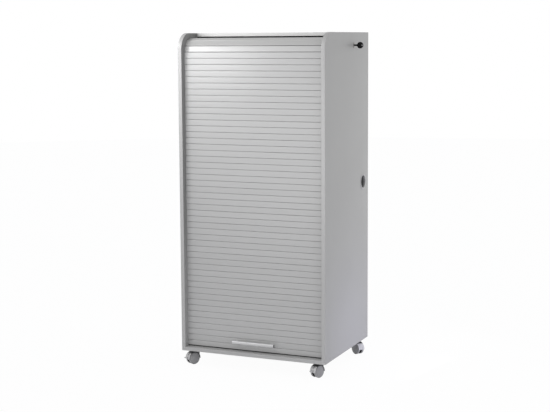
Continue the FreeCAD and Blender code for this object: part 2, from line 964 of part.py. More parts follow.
# The lever: pin across the web, eye and arm in the slot, pedal outside the hood.
pedal_y = d.caster_trail + d.pedal_out
pedal_z = d.wheel_radius + d.pedal_up
arm = doc.addObject("PartDesign::Body", "lever_arm")
place(arm, (-d.lever_thickness / 2, 0, 0))
arm_outline = [
    (lever_y - lever_eye_radius, lever_z),
    (lever_y, lever_z - lever_eye_radius),
    (pedal_y, pedal_z),
    (pedal_y, pedal_z + d.pedal_thickness),
    (lever_y + lever_eye_radius, lever_z + lever_eye_radius),
    (lever_y, lever_z + lever_eye_radius),
]
pad(arm, sketch(arm, "lever_arm_outline", [arm_outline]), d.lever_thickness)
lever_proto = fuse(
    "lever_proto",
    arm,
    cylinder("lever_pin", d.lever_pin_radius, d.hood_web, (-half_web, lever_y, lever_z), "x"),
    box(
        "lever_pedal",
        (d.pedal_wide, d.pedal_long, d.pedal_thickness),
        (-d.pedal_wide / 2, pedal_y, pedal_z),
    ),
)

# One wheel, turned about the axle line, inner face against the web.
wheel_bore = d.axle_radius + d.axle_fit
wheel_proto = doc.addObject("PartDesign::Body", "wheel_proto")
wheel_outline = [
    (0, wheel_bore),
    (d.wheel_width, wheel_bore),
    (d.wheel_width, d.wheel_radius),
    (0, d.wheel_radius),
]
wheel_sketch = sketch(wheel_proto, "wheel_outline", [wheel_outline], "XY_Plane")
wheel_turn = wheel_proto.newObject("PartDesign::Revolution", "wheel_turn")
wheel_turn.Profile = wheel_sketch
wheel_turn.ReferenceAxis = (wheel_sketch, ["H_Axis"])
wheel_turn.Angle = 360
wheel_start = half_web + d.wheel_side_gap
place(wheel_proto, (wheel_start, d.caster_trail, d.wheel_radius))
wheel_pair = {"right": wheel_proto, "left": mirrored("wheel_proto_left", wheel_proto)}


def at_corner(name, source, corner):
    side, row, turn = corners[corner]
    obj = group(name, source)
    obj.Placement = Placement(Vector(), Rotation(Vector(0, 0, 1), turn.value))
    place(obj, (side * caster_across, front + caster_backs[row], 0))
    bind(obj, **{"Placement.Rotation.Angle": turn})
    return obj


for corner, (side, row, turn) in corners.items():
    hood = braked_hood if row == 0 else plain_hood
    keep(at_corner(f"caster_hood_{corner}", hood, corner))
    keep(at_corner(f"caster_axle_{corner}", axle_proto, corner))
    for wheel_side, wheel in wheel_pair.items():
        keep(at_corner(f"caster_wheel_{corner}_{wheel_side}", wheel, corner))
    if row == 0:
        keep(at_corner(f"brake_lever_{corner}", lever_proto, corner))
    centre_x = side * caster_across
    centre_y = front + caster_backs[row]
    plate = box(
        f"plate_{corner}_flat",
        (d.caster_plate, d.caster_plate, d.caster_plate_thickness),
        (centre_x - d.caster_plate / 2, centre_y - d.caster_plate / 2, plate_under),
    )
    king_pin = cylinder(
        f"king_pin_{corner}",
        d.king_pin_radius,
        d.king_pin_length,
        (centre_x, centre_y, king_pin_end),
    )
    plates.append(fuse(f"plate_{corner}", plate, king_pin))
    for across, across_name in ((-1, "left"), (1, "right")):
        for along, along_name in ((-1, "front"), (1, "rear")):
            head_at = (
                centre_x + across * screw_reach,
                centre_y + along * screw_reach,
                plate_under - d.screw_head,
            )
            head_name = f"caster_screw_{corner}_{across_name}_{along_name}"
            caster_screws.append(screw_head(head_name, head_at))
keep(group("caster_plates", *plates))
keep(group("caster_screws", *caster_screws))

# Every object has to be sound, and every pocket has to remove material, before anything is written.
doc.recompute()
for obj in doc.Objects:
    if "Invalid" in obj.State or "Error" in obj.State:
        raise RuntimeError(f"{obj.Name} did not build: {obj.State}")
for feature in pockets:
    if feature.Shape.Volume >= feature.BaseFeature.Shape.Volume:
        raise RuntimeError(f"{feature.Name} cuts nothing")
for name, obj in nodes.items():
    if obj.Shape.isNull() or not obj.Shape.isValid() or not obj.Shape.Solids:
        raise RuntimeError(f"{name} has no valid solid")

os.makedirs("parts", exist_ok=True)
for name, obj in nodes.items():
    obj.Shape.exportStep(os.path.join("parts", f"{name}.step"))
print(f"{len(nodes)} nodes, {len(slats)} slats, {straight_slats} on the front run")
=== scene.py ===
import json
import math

import bmesh
import bpy
import numpy as np
from mathutils import Matrix, Vector


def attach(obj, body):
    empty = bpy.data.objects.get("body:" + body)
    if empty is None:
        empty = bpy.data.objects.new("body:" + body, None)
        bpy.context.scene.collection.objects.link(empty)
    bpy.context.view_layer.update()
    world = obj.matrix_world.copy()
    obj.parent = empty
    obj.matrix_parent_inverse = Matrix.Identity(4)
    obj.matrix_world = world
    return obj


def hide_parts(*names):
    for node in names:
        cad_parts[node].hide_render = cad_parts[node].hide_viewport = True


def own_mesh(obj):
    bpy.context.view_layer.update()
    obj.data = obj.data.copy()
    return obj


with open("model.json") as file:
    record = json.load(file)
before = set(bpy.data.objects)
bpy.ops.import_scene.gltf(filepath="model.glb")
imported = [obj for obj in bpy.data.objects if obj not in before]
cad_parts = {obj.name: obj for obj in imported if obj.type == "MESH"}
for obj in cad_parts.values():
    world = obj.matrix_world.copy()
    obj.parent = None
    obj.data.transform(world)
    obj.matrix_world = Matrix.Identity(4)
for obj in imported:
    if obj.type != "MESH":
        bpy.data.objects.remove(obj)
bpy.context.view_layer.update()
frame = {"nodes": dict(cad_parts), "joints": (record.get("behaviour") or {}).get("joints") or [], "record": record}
jointOf = {joint["name"]: joint for joint in frame["joints"]}

weldDistance = 1e-7
straightUp = np.array([0.0, 0.0, 1.0])
quarterTurn = np.pi / 2


def gridFaces(rows, columns, wrapRows=False, wrapColumns=False):
    # quads between neighbouring grid points, rows first
    rowStart = np.arange(rows if wrapRows else rows - 1)
    columnStart = np.arange(columns if wrapColumns else columns - 1)
    r, c = np.meshgrid(rowStart, columnStart, indexing="ij")
    rNext, cNext = (r + 1) % rows, (c + 1) % columns
    quads = [r * columns + c, rNext * columns + c, rNext * columns + cNext, r * columns + cNext]
    return np.stack(quads, -1).reshape(-1, 4)


def tubeFaces(stations, corners):
    # a closed section drawn through its stations, with a flat cap at both ends
    cap = np.arange(corners)
    return list(gridFaces(stations, corners, False, True)) + [cap, (stations - 1) * corners + cap]


def addPiece(name, points, faces, body, slotName, material, sharpAngle=32, attributes=None):
    mesh = bpy.data.meshes.new(name)
    places = np.asarray(points, float).reshape(-1, 3).tolist()
    mesh.from_pydata(places, [], [list(map(int, face)) for face in faces])
    for key, values in (attributes or {}).items():
        layer = mesh.attributes.new(key, "FLOAT", "POINT")
        layer.data.foreach_set("value", np.asarray(values, np.float32).ravel())
    work = bmesh.new()
    work.from_mesh(mesh)
    bmesh.ops.remove_doubles(work, verts=work.verts, dist=weldDistance)
    bmesh.ops.recalc_face_normals(work, faces=work.faces)
    work.to_mesh(mesh)
    work.free()
    mesh.polygons.foreach_set("use_smooth", np.ones(len(mesh.polygons), bool))
    mesh.set_sharp_from_angle(angle=math.radians(sharpAngle))
    piece = bpy.data.objects.new(name, mesh)
    bpy.context.scene.collection.objects.link(piece)
    piece.data.materials.append(material)
    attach(piece, body)
    return piece


def arcPoints(centre, radius, fromDegrees, toDegrees, steps):
    # points on a circle: centre + radius * (cos, sin)
    turn = np.radians(np.linspace(fromDegrees, toDegrees, steps))
    return np.stack([centre[0] + radius * np.cos(turn), centre[1] + radius * np.sin(turn)], -1)


def unitCircle(count):
    # (cos, sin) at even turns, the last one short of the first
    turn = np.linspace(0, 2 * np.pi, count, endpoint=False)
    return np.stack([np.cos(turn), np.sin(turn)], -1)


def turnedRing(profile, centre, axis, segments):
    # profile (along, radius) carried round a level axis: centre + axis*along + radius*(cos*sideA + sin*sideB)
    axis = np.asarray(axis, float) / np.linalg.norm(axis)
    sideA = np.cross(straightUp, axis)
    around = unitCircle(segments) @ np.stack([sideA, np.cross(axis, sideA)])
    points = np.asarray(centre, float) + profile[None, :, :1] * axis + profile[None, :, 1:] * around[:, None]
    return points, gridFaces(segments, len(profile), True, True)


def joinParts(*parts):
    # several point and face sets as one mesh
    points, faces, start = [], [], 0
    for partPoints, partFaces in parts:
        points.append(np.asarray(partPoints).reshape(-1, 3))
        faces += [[int(index) + start for index in face] for face in partFaces]
        start += len(points[-1])
    return np.concatenate(points), faces


def feed(tree, value, socket):
    # a plain value is set on the socket, an output is linked to it
    if isinstance(value, (int, float, tuple)):
        socket.default_value = value
    else:
        tree.links.new(value, socket)


def mathNode(tree, operation, *values):
    node = tree.nodes.new("ShaderNodeMath")
    node.operation = operation
    for index, value in enumerate(values):
        feed(tree, value, node.inputs[index])
    return node.outputs[0]


def noiseNode(tree, vector, scale, detail, grain):
    node = tree.nodes.new("ShaderNodeTexNoise")
    node.inputs["Detail"].default_value = detail
    node.inputs["Roughness"].default_value = grain
    feed(tree, scale, node.inputs["Scale"])
    tree.links.new(vector, node.inputs["Vector"])
    return node.outputs["Fac"]


def stretchNode(tree, vector, scale):
    node = tree.nodes.new("ShaderNodeMapping")
    node.inputs["Scale"].default_value = scale
    tree.links.new(vector, node.inputs["Vector"])
    return node.outputs["Vector"]


def splitNode(tree, vector):
    node = tree.nodes.new("ShaderNodeSeparateXYZ")
    tree.links.new(vector, node.inputs[0])
    return node.outputs


def attributeNode(tree, name):
    node = tree.nodes.new("ShaderNodeAttribute")
    node.attribute_name = name
    return node.outputs["Fac"]


def mapRange(tree, value, source, target=(0.0, 1.0), kind="LINEAR"):
    node = tree.nodes.new("ShaderNodeMapRange")
    node.interpolation_type = kind
    for key, number in zip(("From Min", "From Max", "To Min", "To Max"), (*source, *target)):
        node.inputs[key].default_value = number
    tree.links.new(value, node.inputs["Value"])
    return node.outputs["Result"]


def stepMask(tree, value, source):
    # smooth step from 0 at the low end to 1 at the high end
    return mapRange(tree, value, source, kind="SMOOTHSTEP")


def scaledColour(tree, colour, factor):
    # a colour, fixed or linked, times a factor
    node = tree.nodes.new("ShaderNodeVectorMath")
    node.operation = "SCALE"
    feed(tree, colour, node.inputs[0])
    tree.links.new(factor, node.inputs["Scale"])
    return node.outputs["Vector"]


def mixColour(tree, factor, first, second):
    node = tree.nodes.new("ShaderNodeMix")
    node.data_type = "RGBA"
    tree.links.new(factor, node.inputs["Factor"])
    for key, value in (("A", first), ("B", second)):
        socket = [s for s in node.inputs if s.name == key and s.type == "RGBA"][0]
        feed(tree, (*value, 1.0) if isinstance(value, tuple) else value, socket)
    return [s for s in node.outputs if s.type == "RGBA"][0]


noise = {"middle": 0.5, "span": (0.25, 0.75)}  # where most of a noise lies
pearl = {"detail": 3.0, "grain": 0.6, "cloudScale": 3.2, "cloudGrain": 0.5, "drift": 0.05}
streaks = {"scale": 1.0, "detail": 4.0, "grain": 0.65}


def newGroup(name, inputs, outputs):
    group = bpy.data.node_groups.new(name, "ShaderNodeTree")
    for direction, sockets in (("INPUT", inputs), ("OUTPUT", outputs)):
        for socketName, kind in sockets.items():
            group.interface.new_socket(name=socketName, in_out=direction, socket_type="NodeSocket" + kind)
    return group, group.nodes.new("NodeGroupInput").outputs, group.nodes.new("NodeGroupOutput").inputs


def swing(tree, value, amount):
    # a noise moved to swing round 0, times an amount
    return mathNode(tree, "MULTIPLY", mathNode(tree, "SUBTRACT", value, noise["middle"]), amount)


def buildSpeckle():
    # fine pearl speckle plus a slow cloud: Tone is a factor near 1, Height drives bump, Cloud is 0 to 1
    group, given, made = newGroup("pearlSpeckle", {"Vector": "Vector", "Scale": "Float", "Spread": "Float"},
                                  {"Tone": "Float", "Height": "Float", "Cloud": "Float"})
    speck = noiseNode(group, given["Vector"], given["Scale"], pearl["detail"], pearl["grain"])
    cloud = noiseNode(group, given["Vector"], pearl["cloudScale"], pearl["detail"], pearl["cloudGrain"])
    both = mathNode(group, "ADD", swing(group, speck, given["Spread"]), swing(group, cloud, pearl["drift"]))
    group.links.new(mathNode(group, "ADD", both, 1.0), made["Tone"])
    group.links.new(speck, made["Height"])
    group.links.new(cloud, made["Cloud"])
    return group


def buildRubMarks():
    # long faint streaks along one direction, for brushed metal and drawn plastic
    group, given, made = newGroup("rubMarks", {"Vector": "Vector", "Spread": "Float"},
                                  {"Tone": "Float", "Height": "Float"})
    streak = noiseNode(group, given["Vector"], streaks["scale"], streaks["detail"], streaks["grain"])
    group.links.new(mathNode(group, "ADD", swing(group, streak, given["Spread"]), 1.0), made["Tone"])
    group.links.new(streak, made["Height"])
    return group


speckleGroup = buildSpeckle()
rubGroup = buildRubMarks()


def placeGroup(tree, group, vector, **values):
    node = tree.nodes.new("ShaderNodeGroup")
    node.node_tree = group
    tree.links.new(vector, node.inputs["Vector"])
    for key, value in values.items():
        node.inputs[key].default_value = value
    return node.outputs


def startMaterial(name, rough, metallic=0.0, specular=0.5):
    material = bpy.data.materials.new(name)
    material.use_nodes = True
    tree = material.node_tree
    shader = tree.nodes["Principled BSDF"]
    shader.inputs["Roughness"].default_value = sum(rough) / 2
    shader.inputs["Metallic"].default_value = metallic
    shader.inputs["Specular IOR Level"].default_value = specular
    return material, tree, shader, tree.nodes.new("ShaderNodeTexCoord").outputs


def dressShader(tree, shader, colour, gloss, rough, height, bump):
    # base colour, roughness that follows a noise, and a fine bump (strength, depth)
    tree.links.new(colour, shader.inputs["Base Color"])
    tree.links.new(mapRange(tree, gloss, noise["span"], rough), shader.inputs["Roughness"])
    node = tree.nodes.new("ShaderNodeBump")
    node.inputs["Strength"].default_value, node.inputs["Distance"].default_value = bump
    tree.links.new(height, node.inputs["Height"])
    tree.links.new(node.outputs["Normal"], shader.inputs["Normal"])


# the top tones are lighter copies of the board tones: painted light on the top board's top face and, brighter
# still, on its front edge
boards = {
    "face": (0.3, 0.3, 0.297), "band": (0.375, 0.375, 0.373), "top": (0.42, 0.42, 0.416),
    "topBand": (0.6, 0.6, 0.594), "shelf": (0.4, 0.4, 0.405), "back": (0.36, 0.36, 0.365),
    "speckScale": 1100.0, "spread": 0.1, "rough": (0.4, 0.52), "bump": (0.05, 0.0002),
    "backBump": (0.12, 0.0002), "broadFrom": 0.7,
}
# painted shade on the inner lip in front of the shutter: darkest high up, lighter towards the foot
lip = {
    "tone": (0.19, 0.19, 0.188), "foot": (0.33, 0.33, 0.33), "rise": (0.1, 0.8), "inward": -0.1,
    "bendBack": -0.1695, "bendUp": 1.303, "bendRadius": 0.0595, "end": -0.1125,
}


def lipShadeMask(tree, place, normal):
    # inner faces outside the shutter's path, which take the painted shade: farther from the middle of its bend
    # than the bend's radius, with the straight runs drawn on from the bend
    inward = mathNode(tree, "LESS_THAN", mathNode(tree, "MULTIPLY", place["X"], normal["X"]), lip["inward"])
    ahead = mathNode(tree, "MAXIMUM", mathNode(tree, "SUBTRACT", lip["bendBack"], place["Y"]), 0.0)
    above = mathNode(tree, "MAXIMUM", mathNode(tree, "SUBTRACT", place["Z"], lip["bendUp"]), 0.0)
    squares = mathNode(tree, "ADD", mathNode(tree, "POWER", ahead, 2.0), mathNode(tree, "POWER", above, 2.0))
    outside = mathNode(tree, "GREATER_THAN", mathNode(tree, "SQRT", squares), lip["bendRadius"])
    forward = mathNode(tree, "LESS_THAN", place["Y"], lip["end"])
    return mathNode(tree, "MULTIPLY", inward, mathNode(tree, "MULTIPLY", outside, forward))


def boardMaterial(name, face, band, bump=boards["bump"], across="X", lipShaded=False):
    # pearl melamine on the broad faces, a brighter band on the edges, and for the outer boards painted shade on
    # the inner lip in front of the shutter
    material, tree, shader, coordinates = startMaterial(name, boards["rough"])
    speckle = placeGroup(tree, speckleGroup, coordinates["Object"],
                         Scale=boards["speckScale"], Spread=boards["spread"])
    normal = splitNode(tree, coordinates["Normal"])
    broad = mathNode(tree, "GREATER_THAN", mathNode(tree, "ABSOLUTE", normal[across]), boards["broadFrom"])
    base = mixColour(tree, broad, band, face)
    if lipShaded:
        place = splitNode(tree, coordinates["Object"])
        # painted shade: the lip's tone runs from the lighter foot to the darker top
        lipShadeTone = mixColour(tree, stepMask(tree, place["Z"], lip["rise"]), lip["foot"], lip["tone"])
        base = mixColour(tree, lipShadeMask(tree, place, normal), base, lipShadeTone)
    colour = scaledColour(tree, base, speckle["Tone"])
    dressShader(tree, shader, colour, speckle["Cloud"], boards["rough"], speckle["Height"], bump)
    return material


plasticDepth = 0.0003
plastics = {
    "bow": {"name": "blackBow", "colour": (0.006, 0.006, 0.0065), "rough": (0.42, 0.55),
            "speckScale": 1500.0, "spread": 0.3, "bump": 0.15, "specular": 0.14},
    "brush": {"name": "brushPile", "colour": (0.008, 0.008, 0.008), "rough": (0.75, 0.9),
              "speckScale": 2600.0, "spread": 0.5, "bump": 0.5, "specular": 0.08},
    "seal": {"name": "sealRubber", "colour": (0.018, 0.018, 0.02), "rough": (0.6, 0.75),
             "speckScale": 900.0, "spread": 0.3, "bump": 0.2},
    # the second colours of the grommet, hood and wheel are painted shade
    "grommet": {"name": "grommetPlastic", "colour": (0.33, 0.33, 0.335), "rough": (0.4, 0.52),
                "second": (0.01, 0.01, 0.01)},
    "hood": {"name": "hoodPlastic", "colour": (0.5, 0.5, 0.502), "rough": (0.3, 0.42),
             "second": (0.04, 0.04, 0.041)},
    "wheel": {"name": "wheelPlastic", "colour": (0.278, 0.278, 0.28), "rough": (0.36, 0.48),
              "second": (0.006, 0.006, 0.006), "specular": 0.35},
}


def plasticMaterial(name, colour, rough, speckScale=1300.0, spread=0.12, bump=0.12, second=None, specular=0.5):
    # moulded plastic: fine grain, a slow change of gloss, and a dark second colour as painted shade where the
    # shade attribute is 1
    material, tree, shader, coordinates = startMaterial(name, rough, 0.0, specular)
    if second:
        colour = mixColour(tree, attributeNode(tree, "secondShot"), colour, second)
    speckle = placeGroup(tree, speckleGroup, coordinates["Object"], Scale=speckScale, Spread=spread)
    colour = scaledColour(tree, colour, speckle["Tone"])
    dressShader(tree, shader, colour, speckle["Cloud"], rough, speckle["Height"], (bump, plasticDepth))
    return material


metalBump = (0.08, 0.0001)
metals = {
    "handle": {"name": "anodisedHandle", "colour": (0.52, 0.52, 0.528), "rough": (0.68, 0.78),
               "stretch": (6, 500, 500), "spread": 0.08},
    "steel": {"name": "zincSteel", "colour": (0.58, 0.585, 0.6), "rough": (0.3, 0.45),
              "stretch": (60, 60, 420), "spread": 0.15},
    "darkSteel": {"name": "blackenedSteel", "colour": (0.035, 0.035, 0.037), "rough": (0.4, 0.55),
                  "stretch": (300, 300, 300), "spread": 0.2},
    "nickel": {"name": "nickelLock", "colour": (0.3, 0.295, 0.29), "rough": (0.24, 0.36),
               "stretch": (500, 500, 500), "spread": 0.05},
}


def metalMaterial(name, colour, rough, stretch, spread):
    # brushed or drawn metal with streaks along its long side
    material, tree, shader, coordinates = startMaterial(name, rough, 1.0)
    marks = placeGroup(tree, rubGroup, stretchNode(tree, coordinates["Object"], stretch), Spread=spread)
    colour = scaledColour(tree, colour, marks["Tone"])
    dressShader(tree, shader, colour, marks["Height"], rough, marks["Height"], metalBump)
    return material


# the groove tone is painted shade in the joints between the slats
slatFinish = {
    "face": (0.4, 0.4, 0.398), "groove": (0.17, 0.17, 0.17), "grooveFrom": (0.7, 1.0),
    "stretch": (5, 420, 420), "spread": 0.05, "rough": (0.31, 0.39), "bump": (0.05, 0.0001),
}


def slatMaterial():
    # satin slat: faint drawn lines along the slat, its own tone, painted shade in the joint
    s = slatFinish
    material, tree, shader, coordinates = startMaterial("satinSlat", s["rough"])
    drawn = stretchNode(tree, coordinates["Object"], s["stretch"])
    marks = placeGroup(tree, rubGroup, drawn, Spread=s["spread"])
    # painted shade on the inner part of each bevel and inside the joint
    shadedJoint = stepMask(tree, attributeNode(tree, "inJoint"), s["grooveFrom"])
    tone = mathNode(tree, "MULTIPLY", marks["Tone"], attributeNode(tree, "slatTone"))
    colour = scaledColour(tree, mixColour(tree, shadedJoint, s["face"], s["groove"]), tone)
    dressShader(tree, shader, colour, marks["Height"], s["rough"], marks["Height"], s["bump"])
    return material


finish = {
    "outerBoard": boardMaterial("outerBoard", boards["face"], boards["band"], lipShaded=True),
    # the top board takes the lighter copies of the board tones: painted light
    "topBoard": boardMaterial("topBoard", boards["top"], boards["topBand"], across="Z"),
    "shelfBoard": boardMaterial("shelfBoard", boards["shelf"], boards["shelf"]),
    "backSheet": boardMaterial("backSheet", boards["back"], boards["back"], boards["backBump"]),
    "slat": slatMaterial(),
    **{key: metalMaterial(**values) for key, values in metals.items()},
    **{key: plasticMaterial(**values) for key, values in plastics.items()},
}
nodeFinish = {
    "outer_board": "outerBoard", "shelf_board": "shelfBoard", "back_sheet": "backSheet", "slat": "slat",
    "handle_metal": "handle", "steel": "steel", "lock_metal": "nickel", "black_plastic": "bow",
    "seal_rubber": "seal", "grommet_plastic": "grommet", "hood_plastic": "hood", "wheel_plastic": "wheel",
}
# the caster plates take the blackened steel as painted shade under the cabinet; the key blade takes the same dark
# finish
ownFinish = {"top_panel": "topBoard", "caster_plates": "darkSteel", "key_blade": "darkSteel"}
for entry in frame["record"]["subparts"]:
    mesh = frame["nodes"][entry["node"]].data
    mesh.materials.clear()
    mesh.materials.append(finish[ownFinish.get(entry["node"], nodeFinish[entry["material_slot"]])])
print("finishes:", len(finish))


# roller shutter: one slat section is carried from hinge to hinge
shutter = {
    "pitch": 0.025, "thick": 0.008, "bevel": 0.0012, "gap": 0.0006, "bead": 0.0017, "socket": 0.0022,
    "lip": 0.0015, "neck": 0.0006, "play": 0.0003, "half": 0.312, "crown": 0.00025, "hair": 1e-6,
    "firstHinge": 0.1073, "faceBack": -0.2295, "bendUp": 1.303, "bendRadius": 0.06, "railFoot": 0.084,
    "sealSlot": (0.0047, 0.0015), "endBar": 0.012, "knuckle": 0.0032, "knuckleSteps": 24,
    "arcSteps": 13, "faceSteps": 9, "shortSteps": 7, "longestStep": 1.5, "halvings": 50,
    "slats": 60, "moving": (1, 46), "bendEnd": 52, "openJoints": (50, 52),
    "toneSpread": 0.03, "toneSeed": 7, "sharp": 28,
}
halfThick = shutter["thick"] / 2
outerEnd = shutter["pitch"] - shutter["lip"] - shutter["gap"]


def crownedFace(low, high, steps):
    # the outer face between its bevels, bowed out by a hair: half thickness + crown*(1-t^2)
    t = np.linspace(-1, 1, steps)
    return np.stack([(low + high) / 2 + t * (high - low) / 2, halfThick + shutter["crown"] * (1 - t ** 2)], -1)


def lowerEdge():
    # back corner, round socket, start of the outer bevel
    s = shutter
    mouth = math.degrees(math.acos(-s["lip"] / s["socket"]))
    return np.concatenate([[[-s["lip"], -halfThick]],
                           arcPoints((0, 0), s["socket"], -mouth, mouth, s["arcSteps"]),
                           [[-s["lip"], halfThick - s["bevel"]]]])


def upperEdge():
    # end of the outer bevel, neck, round bead, and a back corner that leaves room to bend
    s = shutter
    bendTurn = 2 * math.asin(s["pitch"] / 2 / (s["bendRadius"] - halfThick))
    back = s["pitch"] - s["lip"] * math.cos(bendTurn) - halfThick * math.sin(bendTurn) - s["play"]
    neckTurn = 180 - math.degrees(math.asin(s["neck"] / s["bead"]))
    return np.concatenate([[[outerEnd, halfThick - s["bevel"]], [outerEnd, s["neck"]]],
                           arcPoints((s["pitch"], 0), s["bead"], neckTurn, -neckTurn, s["arcSteps"]),
                           [[back, -s["neck"]], [back, -halfThick]]])


def slatSection():
    # one slat, once round: lower edge, crowned face, upper edge
    s = shutter
    face = crownedFace(-s["lip"] + s["bevel"], outerEnd - s["bevel"], s["faceSteps"])
    return np.concatenate([lowerEdge(), face, upperEdge()])


def railSection():
    # the bottom rail has a slot for its seal in place of a socket
    s = shutter
    foot = s["pitch"] - (s["firstHinge"] - s["railFoot"])
    deep, wide = s["sealSlot"]
    slot = np.array([[0, -halfThick], [0, -wide], [deep, -wide], [deep, wide], [0, wide],
                     [0, halfThick - s["bevel"]]])
    face = crownedFace(foot + s["bevel"], outerEnd - s["bevel"], s["shortSteps"])
    return np.concatenate([slot + [foot, 0], face, upperEdge()])


def endSection():
    # the trailing bar: lower edge, crowned face, square end
    s = shutter
    face = crownedFace(-s["lip"] + s["bevel"], s["endBar"], s["shortSteps"])
    return np.concatenate([lowerEdge(), face, [[s["endBar"], -halfThick]]])


def hingeLine(along):
    # straight up, a quarter circle, then straight back, at mid thickness
    s = shutter
    radius, run = s["bendRadius"] - halfThick, s["bendUp"] - s["firstHinge"]
    turn = np.clip((along - run) / radius, 0, quarterTurn)
    onwards = np.maximum(along - run - radius * quarterTurn, 0)
    back = s["faceBack"] + halfThick + radius * (1 - np.cos(turn)) + onwards
    up = s["firstHinge"] + np.minimum(along, run) + radius * np.sin(turn)
    return np.stack([back, up], -1)


def hingePoints():
    # hinges are one pitch apart, measured straight across, found by halving
    pitch, along = shutter["pitch"], [0.0]
    for _ in range(shutter["slats"]):
        low, high = along[-1] + pitch, along[-1] + pitch * shutter["longestStep"]
        for _ in range(shutter["halvings"]):
            middle = (low + high) / 2
            near = np.linalg.norm(hingeLine(middle) - hingeLine(along[-1])) < pitch
            low, high = (middle, high) if near else (low, middle)
        along.append(low)
    return hingeLine(np.array(along))


def carrySection(section, lower, upper, tones, shadedJoint=True):
    # each section point is lower hinge + along*heading + out*normal, drawn from one slat end to the other
    heading = (upper - lower) / shutter["pitch"]
    outward = np.stack([-heading[:, 1], heading[:, 0]], -1)
    flat = lower[:, None] + section[None, :, :1] * heading[:, None] + section[None, :, 1:] * outward[:, None]
    count, corners = flat.shape[:2]
    points = np.empty((count, 2, corners, 3))
    points[..., 0] = np.array([-shutter["half"], shutter["half"]])[None, :, None]
    points[..., 1:] = flat[:, None]
    start = np.arange(count)[:, None, None] * 2 * corners
    sides = (gridFaces(2, corners, False, True)[None] + start).reshape(-1, 4)
    caps = (np.arange(corners) + np.array([0, corners])[None, :, None] + start).reshape(-1, corners)
    # points inside the joint and on its bevels carry the painted joint shade
    inJoint = np.broadcast_to(shadedJoint & (section[:, 1] < halfThick - shutter["hair"]), (count, 2, corners))
    tone = np.broadcast_to(tones[:, None, None], (count, 2, corners))
    return points, list(sides) + list(caps), inJoint, tone


def slatPiece(name, body, chosen, *extra):
    # a run of slats between chosen hinges, with extra carried sections, as one mesh
    parts = list(extra)
    if chosen:
        run = hinges[chosen]
        parts.insert(0, carrySection(slatSection(), run[:-1], run[1:], slatTones[chosen][:-1]))
    points, faces = joinParts(*[part[:2] for part in parts])
    shades = {"inJoint": np.concatenate([part[2].ravel() for part in parts]),
              "slatTone": np.concatenate([part[3].ravel() for part in parts])}
    return addPiece(name, points, faces, body, "slat", finish["slat"], shutter["sharp"], shades)


hinges = hingePoints()
draws = np.random.RandomState(shutter["toneSeed"]).rand(shutter["slats"] + 1)
slatTones = 1 + shutter["toneSpread"] * (draws - 0.5)
oneTone = np.array([1.0])
firstMoving, lastMoving = shutter["moving"]
lastBend = shutter["bendEnd"]

curtain = slatPiece("slatCurtain", "carcass", slice(firstMoving, lastMoving + 1))
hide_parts(*[f"shutter_slats_{number}" for number in range(1, 10)])
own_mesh(curtain)

# on top of the bend the joints open upwards and show a round knuckle
firstOpen, lastOpen = shutter["openJoints"]
knuckles = carrySection(unitCircle(shutter["knuckleSteps"]) * shutter["knuckle"], hinges[firstOpen:lastOpen],
                        hinges[firstOpen + 1:lastOpen + 1], np.ones(lastOpen - firstOpen), False)
bendPiece = slatPiece("slatBend", "carcass", slice(lastMoving, lastBend + 1), knuckles)
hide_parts("shutter_bend_slats")
step = np.array([[shutter["pitch"], 0.0]])
endBar = carrySection(endSection(), hinges[-1:], hinges[-1:] + step, oneTone)
topPiece = slatPiece("slatTopRun", "carcass", slice(lastBend, len(hinges)), endBar)
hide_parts("shutter_top_slats")
handleSlat = slatPiece("handleSlat", "shutter", slice(0, 2))
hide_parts("shutter_handle_slat")
rail = carrySection(railSection(), hinges[:1] - step[:, ::-1], hinges[:1], oneTone)
bottomRail = slatPiece("bottomRail", "shutter", None, rail)
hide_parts("shutter_bottom_rail")
print("shutter:", shutter["slats"], "slats")


bar = {
    "half": 0.094, "front": -0.2525, "back": -0.2435, "low": 0.1108, "high": 0.1228, "round": 0.0032,
    "backRound": 0.0012, "roundSteps": 9, "backSteps": 6, "endBevel": 0.0009, "bevelSteps": 5,
    "plug": 0.0016, "plugInset": 0.0007, "sharp": 40,
}


def barPiece(low, high, bevel, inset=0.0):
    # rounded section carried along X from low to high, drawn in a little at both ends
    b = bar
    near, far = b["round"], b["backRound"]
    section = np.concatenate([
        arcPoints((b["front"] + near, b["low"] + near), near, 180, 270, b["roundSteps"]),
        arcPoints((b["back"] - far, b["low"] + far), far, 270, 360, b["backSteps"]),
        arcPoints((b["back"] - far, b["high"] - far), far, 0, 90, b["backSteps"]),
        arcPoints((b["front"] + near, b["high"] - near), near, 90, 180, b["roundSteps"])])
    turn = np.linspace(0, quarterTurn, b["bevelSteps"])
    drawn, reach = bevel * (1 - np.cos(turn)), bevel * (1 - np.sin(turn))
    stations = np.concatenate([low + reach[::-1], high - reach])
    insets = inset + np.concatenate([drawn[::-1], drawn])
    away = section - section.mean(0)
    away /= np.linalg.norm(away, axis=1, keepdims=True)
    points = np.empty((len(stations), len(section), 3))
    points[..., 0] = stations[:, None]
    points[..., 1:] = section - away * insets[:, None, None]
    return points, tubeFaces(len(stations), len(section))


barEnd = bar["half"] - bar["plug"] / 2
handleBar = addPiece("handleBar", *barPiece(-barEnd, barEnd, bar["endBevel"]), "shutter", "handle_metal",
                     finish["handle"], bar["sharp"])
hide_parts("handle_bar")
# black end plugs that stand in for the shade on the bar's end faces: painted shade
for side, sign in (("left", -1), ("right", 1)):
    reach = sorted((sign * (bar["half"] - bar["plug"]), sign * bar["half"]))
    addPiece(f"barEndShade.{side}", *barPiece(*reach, bar["plugInset"] / 2, bar["plugInset"]), "shutter",
             "black_plastic", finish["bow"], bar["sharp"])
print("handle: bar and end plugs")


